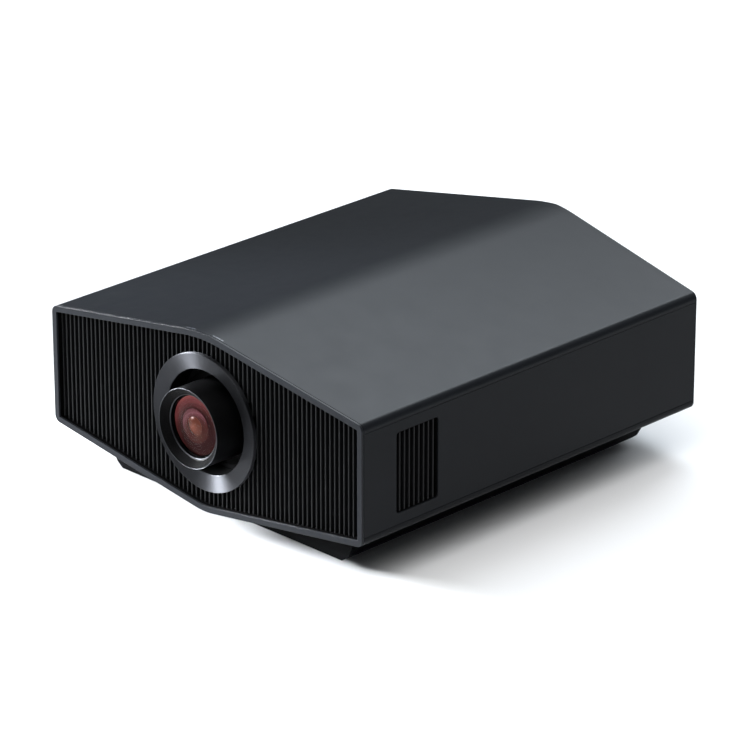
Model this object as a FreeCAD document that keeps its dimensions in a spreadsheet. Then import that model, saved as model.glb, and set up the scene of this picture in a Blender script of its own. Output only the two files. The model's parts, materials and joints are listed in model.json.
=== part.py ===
import FreeCAD, Part
import math
import os
from types import SimpleNamespace

import Sketcher
from FreeCAD import Placement, Rotation, Vector

# Home projector. Millimetres, +Z up, the lens faces -Y, the floor is z = 0.

DIMENSIONS = [
    # case
    ("case_width", 460, "width over both side faces"),
    ("case_depth", 502, "front rim plane to rear corner"),
    ("rear_peak", 29, "rear centre behind the rear corners"),
    ("side_height", 131, "height of a side face"),
    ("top_rise", 36, "ridge above the upper corners"),
    ("bottom_drop", 34, "keel below the lower corners"),
    ("wall", 3, "case wall"),
    ("ridge_round", 180, "radius along the ridge"),
    ("keel_round", 95, "radius along the keel"),
    ("edge_round", 8, "radius along the four corners"),
    ("rim_width", 6.75, "front rim width"),
    ("rim_depth", 2.6, "front rim thickness"),
    ("lip_depth", 16, "bezel depth inside the case"),
    ("seam", 0.4, "gap at a case seam"),
    ("fit", 0.15, "gap round a piece let into another"),
    ("running", 0.05, "radial gap of a shaft or slide"),
    ("seam_inset", 9, "upper seam below the corner, lower seam above it"),
    # grille
    ("fin_pitch", 6.56, "front fin pitch"),
    ("fin_thick", 2.3, "fin thickness"),
    ("fin_setback", 4.8, "fin edge behind the rim plane"),
    ("fin_depth", 12, "fin depth"),
    ("backing", 2, "sheet behind the fins"),
    # lens surround
    ("ring_outer", 75, "surround ring outer radius"),
    ("ring_inner", 57, "surround ring inner radius"),
    ("ring_front", 0.5, "outer edge of the ring behind the rim plane"),
    ("ring_dish", 3.1, "depth of the ring's cone"),
    ("well_wall", 2.5, "lens well wall"),
    ("well_depth", 24, "lens well depth"),
    # lens
    ("lens_proud", 20.7, "lens rim in front of the rim plane"),
    ("barrel_radius", 43.3, "lens barrel radius"),
    ("barrel_bore", 36, "lens barrel bore"),
    ("hood_radius", 34.5, "inner end of the lens hood"),
    ("hood_depth", 7.7, "lens hood depth"),
    ("barrel_back", 95, "barrel flange behind the rim plane"),
    ("ring_width", 16, "zoom and focus ring width"),
    ("ring_thick", 7, "zoom and focus ring thickness"),
    ("focus_place", 32, "focus ring behind the rim plane"),
    ("zoom_place", 58, "zoom ring behind the rim plane"),
    ("glass_radius", 33, "front lens radius"),
    ("glass_curve", 123, "front lens surface radius"),
    ("glass_edge", 7, "front lens edge thickness"),
    ("glass_bulge", 4.5, "front lens crown"),
    ("focus_travel", 1.5, "front group clearance each way"),
    # lens shift
    ("carriage_half", 62, "half size of the sideways carriage"),
    ("carriage_thick", 8, "thickness of either carriage"),
    ("rod_radius", 3, "guide rods and lead screws"),
    ("lift_travel", 10, "space above and below the lift carriage"),
    ("shift_travel", 8, "space beside the sideways carriage"),
    # base
    ("foot_height", 5, "plinth above the floor"),
    ("plinth_drop", 13, "plinth below the keel"),
    ("plinth_width", 346, "plinth width at its underside"),
    ("plinth_front", 36, "plinth behind the rim plane"),
    ("plinth_rear", 25, "plinth ahead of the rear corners"),
    ("plinth_flare", 10, "plinth sides lean out"),
    ("foot_radius", 14, "foot radius"),
    ("foot_spacing", 270, "feet across"),
    ("foot_front", 75, "front feet behind the rim plane"),
    ("foot_rear", 72, "rear feet ahead of the rear corners"),
    ("stem_radius", 4, "foot screw radius"),
    ("mount_wide", 140, "ceiling mount holes across"),
    ("mount_long", 200, "ceiling mount holes front to back"),
    ("mount_front", 150, "front mount holes behind the rim plane"),
    ("mount_bore", 2.1, "ceiling mount thread radius"),
    ("mount_insert", 4.5, "ceiling mount insert radius"),
    # side vent
    ("vent_front", 49, "side vent behind the rim plane"),
    ("vent_length", 59.5, "side vent length"),
    ("vent_height", 88, "side vent height"),
    ("vent_round", 3.5, "vent corner radius"),
    ("vent_fins", 8, "side vent fins"),
    # inside
    ("chassis_clear", 4, "chassis above the lower corners"),
    ("sheet_thick", 2, "chassis sheet"),
    ("fan_size", 92, "fan frame side"),
    ("fan_depth", 25, "fan frame depth"),
    ("fan_spacing", 180, "fans across"),
    ("engine_wide", 140, "optical housing width"),
    ("engine_share", 0.58, "share of the room behind the lens mount for the optical housing"),
    ("light_share", 0.255, "share of that room for the light source"),
    ("engine_high", 117, "optical housing height"),
    # left side
    ("button_radius", 4, "control button radius"),
    ("button_pitch", 12, "control button spacing"),
    ("control_share", 0.18, "control panel behind the rim plane, over the case depth"),
    ("control_length", 92, "control panel length"),
    ("control_height", 46, "control panel height"),
    ("terminal_share", 0.468, "terminal tray behind the rim plane, over the case depth"),
    ("terminal_length", 140, "terminal tray length"),
    ("terminal_height", 44, "terminal tray height"),
    ("tray_depth", 9, "terminal tray depth"),
    ("inlet_share", 0.82, "power inlet behind the rim plane, over the case depth"),
]

doc = FreeCAD.newDocument("projector")
sheet = doc.addObject("Spreadsheet::Sheet", "Sizes")
for line, (alias, amount, note) in enumerate(DIMENSIONS, 1):
    sheet.set(f"A{line}", note)
    sheet.set(f"B{line}", str(amount))
    sheet.setAlias(f"B{line}", alias)
doc.recompute()


class Value:
    """A length worked out from the sheet: the expression to bind and its present number."""

    def __init__(self, text, number):
        self.text = text
        self.number = number

    def __add__(self, other):
        other = value(other)
        return Value(f"({self.text} + {other.text})", self.number + other.number)

    def __sub__(self, other):
        other = value(other)
        return Value(f"({self.text} - {other.text})", self.number - other.number)

    def __mul__(self, other):
        other = value(other)
        return Value(f"({self.text} * {other.text})", self.number * other.number)

    def __truediv__(self, other):
        other = value(other)
        return Value(f"({self.text} / {other.text})", self.number / other.number)

    def __radd__(self, other):
        return value(other) + self

    def __rsub__(self, other):
        return value(other) - self

    def __rmul__(self, other):
        return value(other) * self

    def __neg__(self):
        return Value(f"(0 - {self.text})", -self.number)

    def root(self):
        return Value(f"sqrt({self.text})", math.sqrt(self.number))


def value(thing):
    return thing if isinstance(thing, Value) else Value(f"({float(thing)})", float(thing))


size = SimpleNamespace(**{
    alias: Value(f"Sizes.{alias}", float(sheet.get(alias))) for alias, _, _ in DIMENSIONS})

half = size.case_width / 2
keel = size.foot_height + size.plinth_drop
low = keel + size.bottom_drop
high = low + size.side_height
ridge = high + size.top_rise
axis = low + size.side_height / 2
front = (size.lens_proud - size.case_depth - size.rear_peak) / 2
rear = front + size.case_depth
upper_seam = high - size.seam_inset
lower_seam = low + size.seam_inset
deck = low + size.chassis_clear + size.sheet_thick

nodes = []


def keep(thing):
    """Marks an object as a finished sub-part that gets a file of its own."""
    nodes.append(thing)
    return thing


def bind(thing, **settings):
    for name, amount in settings.items():
        thing.setExpression(name, value(amount).text)


def place(thing, x=0, y=0, z=0):
    for name, amount in (("x", x), ("y", y), ("z", z)):
        thing.setExpression(f"Placement.Base.{name}", value(amount).text)
    return thing


def block(label, x0, x1, y0, y1, z0, z1):
    thing = doc.addObject("Part::Box", label)
    bind(thing, Length=value(x1) - x0, Width=value(y1) - y0, Height=value(z1) - z0)
    return place(thing, x0, y0, z0)


TURNS = {
    "x": Rotation(Vector(0, 1, 0), 90),
    "y": Rotation(Vector(1, 0, 0), -90),
    "z": Rotation(),
}


def rod(label, along, x, y, z, radius, length):
    """A cylinder that starts at a point and runs along +x, +y or +z."""
    thing = doc.addObject("Part::Cylinder", label)
    thing.Placement = Placement(Vector(), TURNS[along])
    bind(thing, Radius=radius, Height=length)
    return place(thing, x, y, z)


def cut(label, base, *tools):
    thing = doc.addObject("Part::Cut", label)
    thing.Base = base
    thing.Tool = tools[0] if len(tools) == 1 else fuse(label + "_tools", *tools)
    return thing


def fuse(label, *parts):
    thing = doc.addObject("Part::MultiFuse", label)
    thing.Shapes = list(parts)
    return thing


def common(label, base, tool):
    thing = doc.addObject("Part::Common", label)
    thing.Base = base
    thing.Tool = tool
    return thing


def group(label, *parts):
    """Separate solids that share one node."""
    thing = doc.addObject("Part::Compound", label)
    thing.Links = list(parts)
    return thing


def draw(body, label, plane, start, points):
    """A closed outline on one of the body's own planes, every corner bound to the sheet."""
    sketch = body.newObject("Sketcher::SketchObject", label)
    datum = [item for item in body.Origin.OriginFeatures if item.Role == plane + "_Plane"][0]
    sketch.AttachmentSupport = [(datum, "")]
    sketch.MapMode = "FlatFace"
    facing = -1 if plane == "XZ" else 1
    sketch.setExpression("AttachmentOffset.Base.z", (value(start) * facing).text)
    points = [(value(u), value(v)) for u, v in points]
    corners = [Vector(u.number, v.number, 0) for u, v in points]
    count = len(corners)
    for index in range(count):
        sketch.addGeometry(Part.LineSegment(corners[index], corners[(index + 1) % count]))
    for index in range(count):
        following = (index + 1) % count
        sketch.addConstraint(Sketcher.Constraint("Coincident", index, 2, following, 1))
    for index, (u, v) in enumerate(points):
        for kind, amount in (("DistanceX", u), ("DistanceY", v)):
            rule = Sketcher.Constraint(kind, -1, 1, index, 1, amount.number)
            number = sketch.addConstraint(rule)
            sketch.setExpression(f"Constraints[{number}]", amount.text)
    doc.recompute()
    return sketch


def prism(label, plane, start, depth, points, rounds=()):
    """A padded outline: XY runs up +z, XZ runs back +y, YZ runs along +x.

    rounds lists (corner numbers, radius) for the edges along the pad.
    """
    body = doc.addObject("PartDesign::Body", label)
    sketch = draw(body, label + "_outline", plane, start, points)
    pad = body.newObject("PartDesign::Pad", label + "_pad")
    pad.Profile = sketch
    pad.Reversed = plane == "XZ"
    bind(pad, Length=depth)
    doc.recompute()
    across = {"XY": ("x", "y"), "XZ": ("x", "z"), "YZ": ("y", "z")}[plane]
    tip = pad
    for number, (corners, radius) in enumerate(rounds):
        spots = [(value(points[index][0]).number, value(points[index][1]).number)
                 for index in corners]
        edges = [f"Edge{index}" for index, edge in enumerate(tip.Shape.Edges, 1)
                 if stands_on(edge, across, spots)]
        fillet = body.newObject("PartDesign::Fillet", f"{label}_round{number}")
        fillet.Base = (tip, edges)
        bind(fillet, Radius=radius)
        doc.recompute()
        tip = fillet
    return body


def stands_on(edge, across, spots):
    """True for a straight edge that runs along the pad from one of the corners."""
    for u, v in spots:
        if len(edge.Vertexes) == 2 and all(
                abs(getattr(end.Point, across[0]) - u) < 1e-4
                and abs(getattr(end.Point, across[1]) - v) < 1e-4 for end in edge.Vertexes):
            return True
    return False


def turned(label, profile, x=0, y=0, z=0):
    """A profile of (radius, y) corners turned about an axis parallel to y."""
    body = doc.addObject("PartDesign::Body", label)
    sketch = draw(body, label + "_profile", "XY", 0, profile)
    turn = body.newObject("PartDesign::Revolution", label + "_turn")
    turn.Profile = sketch
    turn.ReferenceAxis = (sketch, ["V_Axis"])
    turn.Angle = 360
    doc.recompute()
    return place(body, x, y, z)


def rows(label, starts, step, count, box):
    """Equal boxes in rows: no primitive repeats a box, so the shape is set from the values."""
    thing = doc.addObject("Part::Feature", label)
    wide, deep, tall = (value(item).number for item in box)
    solids = []
    for x, y, z in starts:
        for index in range(count):
            corner = Vector(*(value(item).number for item in (x, y, z)))
            shift = Vector(*(value(item).number for item in step)) * index
            solids.append(Part.makeBox(wide, deep, tall, corner + shift))
    thing.Shape = Part.makeCompound(solids)
    return thing


def lean(rise):
    """Slope of a face that climbs by rise over half the width."""
    return rise / half


def section(inset):
    """Corners of the case section moved in by inset, from the lower left round to the right."""
    top = lean(size.top_rise)
    bottom = lean(size.bottom_drop)
    top_long = (top * top + 1).root()
    bottom_long = (bottom * bottom + 1).root()
    return [
        (-half + inset, low - inset * bottom + inset * bottom_long),
        (value(0), keel + inset * bottom_long),
        (half - inset, low - inset * bottom + inset * bottom_long),
        (half - inset, high + inset * top - inset * top_long),
        (value(0), ridge - inset * top_long),
        (-half + inset, high + inset * top - inset * top_long),
    ]


def case_prism(label, inset, start, depth, corner):
    """The six-sided case section as a solid, with its ridge, keel and corners rounded."""
    rounds = [((4,), size.ridge_round - inset), ((1,), size.keel_round - inset),
              ((0, 2, 3, 5), corner)]
    return prism(label, "XZ", start, depth, section(value(inset)), rounds)


def rear_plan(label, outer, inner):
    """A plate that follows the shallow V of the rear, between two distances from it."""
    reach = half + 5
    fall = lean(size.rear_peak) * 5
    points = [
        (-reach, rear - outer - fall), (-reach, rear - inner - fall),
        (value(0), rear + size.rear_peak - inner), (reach, rear - inner - fall),
        (reach, rear - outer - fall), (value(0), rear + size.rear_peak - outer),
    ]
    return prism(label, "XY", 0, ridge + 10, points)


def case():
    """Bezel, upper and lower case, side panels and rear panel."""
    length = size.case_depth + size.rear_peak + 10
    body = case_prism("outer_form", 0, front, length, size.edge_round)
    hollow = case_prism("inner_form", size.wall, front, length, size.edge_round - size.wall)

    rim = common("rim_band", body, block(
        "rim_space", -half - 5, half + 5, front, front + size.rim_depth, 0, ridge + 10))
    lip = case_prism("lip_form", size.wall + size.fit, front + size.rim_depth,
                     size.lip_depth - size.rim_depth,
                     size.edge_round - size.wall - size.fit)
    opening = case_prism("rim_opening", size.rim_width, front - 1, size.lip_depth + 2, value(1.2))
    keep(cut("front_bezel", fuse("bezel_solid", rim, lip), opening))

    start = front + size.rim_depth + size.seam
    plan = prism("shell_plan", "XY", 0, ridge + 10, [
        (-half - 5, start), (half + 5, start),
        (half + 5, rear - size.rim_depth - size.seam - lean(size.rear_peak) * 5),
        (value(0), rear + size.rear_peak - size.rim_depth - size.seam),
        (-half - 5, rear - size.rim_depth - size.seam - lean(size.rear_peak) * 5),
    ])
    shell = cut("shell", common("shell_solid", body, plan), hollow)
    behind = rear + size.rear_peak + 10

    top = common("upper_shell", shell, block(
        "upper_space", -half - 5, half + 5, front, behind, upper_seam, ridge + 10))
    bottom = common("lower_shell", shell, block(
        "lower_space", -half - 5, half + 5, front, behind, 0, lower_seam))
    left = common("left_shell", shell, block(
        "left_space", -half - 5, -half + 40, front, behind, lower_seam + size.seam,
        upper_seam - size.seam))
    right = common("right_shell", shell, block(
        "right_space", half - 40, half + 5, front, behind, lower_seam + size.seam,
        upper_seam - size.seam))
    return body, top, bottom, left, right


def indicator_lights(top):
    """Two slim light pipes let into the upper case behind the front rim."""
    pipes = []
    slots = []
    for side, (x0, x1) in (("left", (-27, -13)), ("right", (12, 28))):
        y0 = front + size.rim_depth + size.seam + 0.8
        slots.append(block(f"{side}_slot", x0, x1, y0, y0 + 2.4, ridge - 20, ridge + 5))
        pipe = block(f"{side}_pipe", x0 + size.fit, x1 - size.fit, y0 + size.fit,
                     y0 + 2.4 - size.fit, ridge - 11, ridge + 5)
        pipes.append(common(f"{side}_light", pipe, top))
    keep(cut("upper_case", top, *slots))
    keep(group("indicator_lights", *pipes))


def front_grille():
    """A block inside the bezel with deep slots, so that upright fins stand before a sheet."""
    y0 = front + size.fin_setback
    depth = size.fin_depth + size.backing
    solid = case_prism("grille_form", size.rim_width + 0.1, y0, depth, value(1.1))
    area = case_prism("slot_area", size.rim_width + 1.2, y0 - 1, size.fin_depth + 1, value(1.0))
    gap = size.fin_pitch - size.fin_thick
    count = 2 * int(round(half.number / size.fin_pitch.number - 1)) + 1
    first = size.fin_pitch * (-(count - 1) / 2) - gap / 2
    bars = rows("slot_bars", [(first, y0 - 2, keel - 5)], (size.fin_pitch, 0, 0), count,
                (gap, size.fin_depth + 3, ridge - keel + 10))
    hub = rod("hub_guard", "y", 0, y0 - 5, axis, size.ring_outer, depth + 10)
    slots = cut("slots", common("slot_solids", area, bars), hub)
    hole = rod("hub_hole", "y", 0, y0 - 5, axis, size.ring_outer - size.well_wall, depth + 10)
    keep(cut("front_grille", solid, slots, hole))


def lens_surround():
    """The dished metal ring and the dark well behind it."""
    back = size.fin_setback
    dish = size.ring_front + size.ring_dish
    keep(turned("lens_surround_ring", [
        (size.ring_outer, size.ring_front), (size.ring_outer, back), (size.ring_inner, back),
        (size.ring_inner, dish)], 0, front, axis))
    outer = size.ring_outer - size.well_wall - size.fit
    wall = size.ring_inner + size.well_wall
    keep(turned("lens_well", [
        (size.ring_inner, back), (outer, back), (outer, back + size.well_wall),
        (wall, back + size.well_wall), (wall, back + size.well_depth),
        (size.ring_inner, back + size.well_depth)], 0, front, axis))


def lens():
    """Barrel, rings, sliding front group and glass, all about the lens axis."""
    tip = -size.lens_proud
    hood = tip + size.hood_depth
    back = size.barrel_back
    radius = size.barrel_radius
    bore = size.barrel_bore
    keep(turned("lens_barrel", [
        (radius - 0.8, tip), (radius, tip + 0.8), (radius, back - 5), (52, back - 5), (52, back),
        (bore, back), (bore, hood + 1.5), (size.hood_radius, hood + 1.5),
        (size.hood_radius, hood), (size.hood_radius + 3, hood - 2.2),
        (size.hood_radius + 3.6, hood - 2.2), (radius - 2.2, tip)], 0, front, axis))
    for label, spot in (("focus_ring", size.focus_place), ("zoom_ring", size.zoom_place)):
        inner = radius + size.running
        outer = radius + size.ring_thick
        keep(turned(label, [
            (inner, spot), (outer - 1, spot), (outer, spot + 1),
            (outer, spot + size.ring_width - 1), (outer - 1, spot + size.ring_width),
            (inner, spot + size.ring_width)], 0, front, axis))

    cell = hood + 1.5 + size.focus_travel
    glass = cell + 1.5
    outer = bore - size.running
    keep(turned("front_group", [
        (size.glass_radius - 1, cell), (outer, cell), (outer, cell + 24),
        (size.glass_radius - 3, cell + 24), (size.glass_radius - 3, glass + size.glass_edge),
        (size.glass_radius, glass + size.glass_edge), (size.glass_radius, glass),
        (size.glass_radius - 1, glass)], 0, front, axis))
    disc = rod("glass_disc", "y", 0, front + glass - size.glass_bulge, axis,
               size.glass_radius - 1.1, size.glass_bulge + 0.3)
    rim = rod("glass_rim", "y", 0, front + glass + 0.05, axis,
              size.glass_radius - size.running, size.glass_edge - 0.1)
    ball = doc.addObject("Part::Sphere", "glass_ball")
    ball.Placement = Placement(Vector(), TURNS["y"])
    bind(ball, Radius=size.glass_curve)
    place(ball, 0, front + glass - size.glass_bulge + size.glass_curve, axis)
    dome = common("glass_dome", disc, ball)
    keep(fuse("front_lens", dome, rim))

    keep(turned("rear_lens", [
        (0, back - 26), (8, back - 25.5), (16, back - 24), (24, back - 21.5),
        (bore - 0.05, back - 17), (bore - 0.05, back - 12), (0, back - 12)], 0, front, axis))


def lens_shift():
    """Sideways carriage on the lift carriage, lift carriage on the fixed lens mount."""
    r = size.rod_radius
    run = size.running
    thick = size.carriage_thick
    plate = front + size.barrel_back
    hw = size.carriage_half
    rods = hw - 8
    screw = rods - 9
    middle = plate + thick / 2

    slab = block("shift_slab", -hw, hw, plate, plate + thick, axis - hw, axis + hw)
    bores = [rod("shift_light", "y", 0, plate - 1, axis, size.barrel_bore, thick + 2)]
    for name, height in (("upper", axis + rods), ("lower", axis - rods), ("nut", axis - screw)):
        bores.append(rod(f"shift_{name}_bore", "x", -hw - 1, middle, height, r + run, hw * 2 + 2))
    keep(cut("horizontal_carriage", slab, *bores))

    inner = hw + size.shift_travel
    outer = inner + 8
    rail = outer + 8
    edge = rail + 6
    drive = rail + 16
    back = plate + thick + 2
    lift_middle = back + thick / 2
    frame = block("lift_plate", -edge, drive + 6, back, back + thick, axis - hw, axis + hw)
    lugs = [block(f"lift_lug_{side}", x0, x1, plate, back, axis - hw, axis + hw)
            for side, x0, x1 in (("left", -outer, -inner), ("right", inner, outer))]
    lift = fuse("lift_solid", frame, *lugs)
    holes = [rod("lift_light", "y", 0, back - 1, axis, 46, thick + 2),
             rod("lift_screw_bore", "x", -outer - 1, middle, axis - screw, r + run,
                 outer * 2 + 2)]
    for name, x in (("left", -rail), ("right", rail), ("nut", drive)):
        holes.append(rod(f"lift_{name}_bore", "z", x, lift_middle, axis - hw - 1, r + run,
                         hw * 2 + 2))
    guides = [rod(f"guide_{name}", "x", -inner - 0.5, middle, height, r, inner * 2 + 1)
              for name, height in (("upper", axis + rods), ("lower", axis - rods))]
    keep(fuse("vertical_carriage", cut("lift_bored", lift, *holes), *guides))

    stop = hw + size.lift_travel
    top = stop + 7
    wall = back + thick + 2
    mount = [block("mount_plate", -drive - 6, drive + 6, wall, wall + 6, axis - top, axis + top),
             block("mount_wings", -drive - 26, drive + 26, wall, wall + 6, deck, axis + 30)]
    for name, z0, z1 in (("upper", axis + stop, axis + top), ("lower", axis - top, axis - stop)):
        mount.append(block(f"mount_{name}", -edge, drive + 6, back, wall, z0, z1))
    solid = fuse("mount_solid", *mount)
    holes = [rod("mount_light", "y", 0, wall - 1, axis, 50, 8),
             rod("mount_screw_bore", "z", drive, lift_middle, axis - top - 1, r + run,
                 top * 2 + 2)]
    rails = [rod(f"rail_{name}", "z", x, lift_middle, axis - stop - 0.5, r, stop * 2 + 1)
             for name, x in (("left", -rail), ("right", rail))]
    keep(fuse("lens_mount", cut("mount_bored", solid, *holes), *rails))

    keep(rod("vertical_screw", "z", drive, lift_middle, axis - top, r, top * 2))
    keep(rod("horizontal_screw", "x", -outer, middle, axis - screw, r, outer * 2))
    keep(block("vertical_motor", drive + 6.5, drive + 26, wall - 20, wall, axis - 10, axis + 24))
    keep(block("horizontal_motor", -edge, -outer - 0.5, plate - 22, back, axis - hw,
               axis - hw + 16))
    return wall + 6, drive + 6


def side_vent(right):
    """The side panel that carries the vent, and the vent's own fins."""
    y0 = front + size.vent_front
    y1 = y0 + size.vent_length
    z0 = axis - size.vent_height / 2
    z1 = axis + size.vent_height / 2
    opening = prism("vent_opening", "YZ", half - 20, 30,
                    [(y0, z0), (y1, z0), (y1, z1), (y0, z1)], [((0, 1, 2, 3), size.vent_round)])
    keep(cut("side_panel_right", right, opening))
    gap = size.fit
    solid = prism("vent_form", "YZ", half - 11, 10, [
        (y0 + gap, z0 + gap), (y1 - gap, z0 + gap), (y1 - gap, z1 - gap), (y0 + gap, z1 - gap)],
        [((0, 1, 2, 3), size.vent_round - gap)])
    count = int(round(size.vent_fins.number))
    pitch = (size.vent_length - 5) / (size.vent_fins)
    space = pitch - size.fin_thick
    slots = rows("vent_slots", [(half - 9, y0 + 1.2, z0 + 1.2)], (0, pitch, 0), count,
                 (20, space, size.vent_height - 2.4))
    last = rows("vent_last", [(half - 9, y0 + 1.2 + pitch * size.vent_fins, z0 + 1.2)],
                (0, 0, 0), 1, (20, size.vent_length - 2.4 - pitch * size.vent_fins,
                               size.vent_height - 2.4))
    keep(cut("side_vent_grille", solid, slots, last))


def rear_end(body):
    """Rear panel with two vents, and the fins that follow its V."""
    plate = common("rear_plate", body, rear_plan("rear_skin", value(0), size.rim_depth))
    openings = []
    fields = []
    wide = half - 100
    starts = {"left": -half + 35, "right": value(65)}
    for side, x0 in starts.items():
        z0 = axis - 46
        corners = [(x0, z0), (x0 + wide, z0), (x0 + wide, z0 + 92), (x0, z0 + 92)]
        openings.append(prism(f"rear_opening_{side}", "XZ", rear - 10, 60, corners,
                              [((0, 1, 2, 3), size.vent_round)]))
        gap = 0.15
        inner = [(x0 + gap, z0 + gap), (x0 + wide - gap, z0 + gap),
                 (x0 + wide - gap, z0 + 92 - gap), (x0 + gap, z0 + 92 - gap)]
        fields.append(prism(f"rear_field_{side}", "XZ", rear - 20, 60, inner,
                            [((0, 1, 2, 3), size.vent_round - gap)]))
    keep(cut("rear_panel", plate, *openings))
    layer = rear_plan("vent_layer", value(1), value(9))
    bodies = common("rear_fins_solid", fuse("rear_fields", *fields), layer)
    gap = size.fin_pitch - size.fin_thick
    count = int(wide.number / size.fin_pitch.number)
    slots = rows("rear_slots", [(x0 + 2.2, rear - 60, axis - 44) for x0 in starts.values()],
                 (size.fin_pitch, 0, 0), count, (gap, 120, 88))
    keep(cut("rear_vent_grille", bodies, slots))


def plinth(body, bottom):
    """The dark base tray, shaped to the underside of the case, with its bosses."""
    y0 = front + size.plinth_front
    y1 = rear - size.plinth_rear
    hw = size.plinth_width / 2
    z0 = size.foot_height
    flare = size.plinth_flare
    rise = 17
    def outline(label, inset, lower):
        w = hw - inset
        return prism(label, "XZ", y0 + inset, y1 - y0 - inset * 2, [
            (-w + 8, lower), (w - 8, lower), (w, lower + 6), (w + flare * 0.65, lower + rise),
            (w + flare, low), (-w - flare, low), (-w - flare * 0.65, lower + rise),
            (-w, lower + 6)])
    outer = outline("tray_outer", value(0), z0)
    inner = outline("tray_inner", size.wall, z0 + size.wall)
    spots = {
        "foot_left": (-size.foot_spacing / 2, size.foot_front),
        "foot_right": (size.foot_spacing / 2, size.foot_front),
        "mount_1": (-size.mount_wide / 2, size.mount_front),
        "mount_2": (size.mount_wide / 2, size.mount_front),
        "mount_3": (-size.mount_wide / 2, size.mount_front + size.mount_long),
        "mount_4": (size.mount_wide / 2, size.mount_front + size.mount_long),
    }
    bosses = []
    holes = []
    inserts = []
    for name, (x, y) in spots.items():
        bosses.append(rod(f"boss_{name}", "z", x, front + y, z0 + 0.5, 9, low - z0))
        if name.startswith("foot"):
            holes.append(rod(f"bore_{name}", "z", x, front + y, z0 - 1,
                             size.stem_radius + size.running, low - z0 + 2))
        else:
            holes.append(rod(f"bore_{name}", "z", x, front + y, z0 - 1,
                             size.mount_insert + 0.02, 13))
            tube = rod(f"tube_{name}", "z", x, front + y, z0, size.mount_insert, 12)
            thread = rod(f"thread_{name}", "z", x, front + y, z0 - 1, size.mount_bore, 14)
            inserts.append(cut(f"insert_{name}", tube, thread))
    tray = fuse("tray_solid", cut("tray_shell", outer, inner), *bosses)
    trimmed = cut("tray_trimmed", tray, body)
    keep(cut("base_plinth", trimmed, *holes))
    keep(group("mount_inserts", *inserts))

    for side, x in (("left", -size.foot_spacing / 2), ("right", size.foot_spacing / 2)):
        y = front + size.foot_front
        pad = rod(f"pad_{side}", "z", x, y, 0, size.foot_radius, z0 - 0.3)
        socket = rod(f"pad_socket_{side}", "z", x, y, 1.5, size.stem_radius + 0.3, 10)
        keep(cut(f"foot_pad_{side}", pad, socket))
        keep(rod(f"foot_stem_{side}", "z", x, y, 1.8, size.stem_radius, 28))
    pads = [rod(f"rear_pad_{side}", "z", x, rear - size.foot_rear, 0, size.foot_radius, z0)
            for side, x in (("left", -size.foot_spacing / 2), ("right", size.foot_spacing / 2))]
    keep(group("rear_feet", *pads))
    return spots


def lower_case(bottom):
    """The lower shell with posts that carry the chassis."""
    posts = []
    for side in (-1, 1):
        for name, share in (("front", 0.12), ("middle", 0.5), ("rear", 0.86)):
            x = side * (half - 40)
            y = size.case_depth * share
            label = f"post_{name}_{'left' if side < 0 else 'right'}"
            floor = low - lean(size.bottom_drop) * 40 + size.wall
            posts.append(rod(label, "z", x, front + y, floor - 1, 6,
                             deck - size.sheet_thick - floor + 1))
    keep(fuse("lower_case", bottom, *posts))


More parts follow.
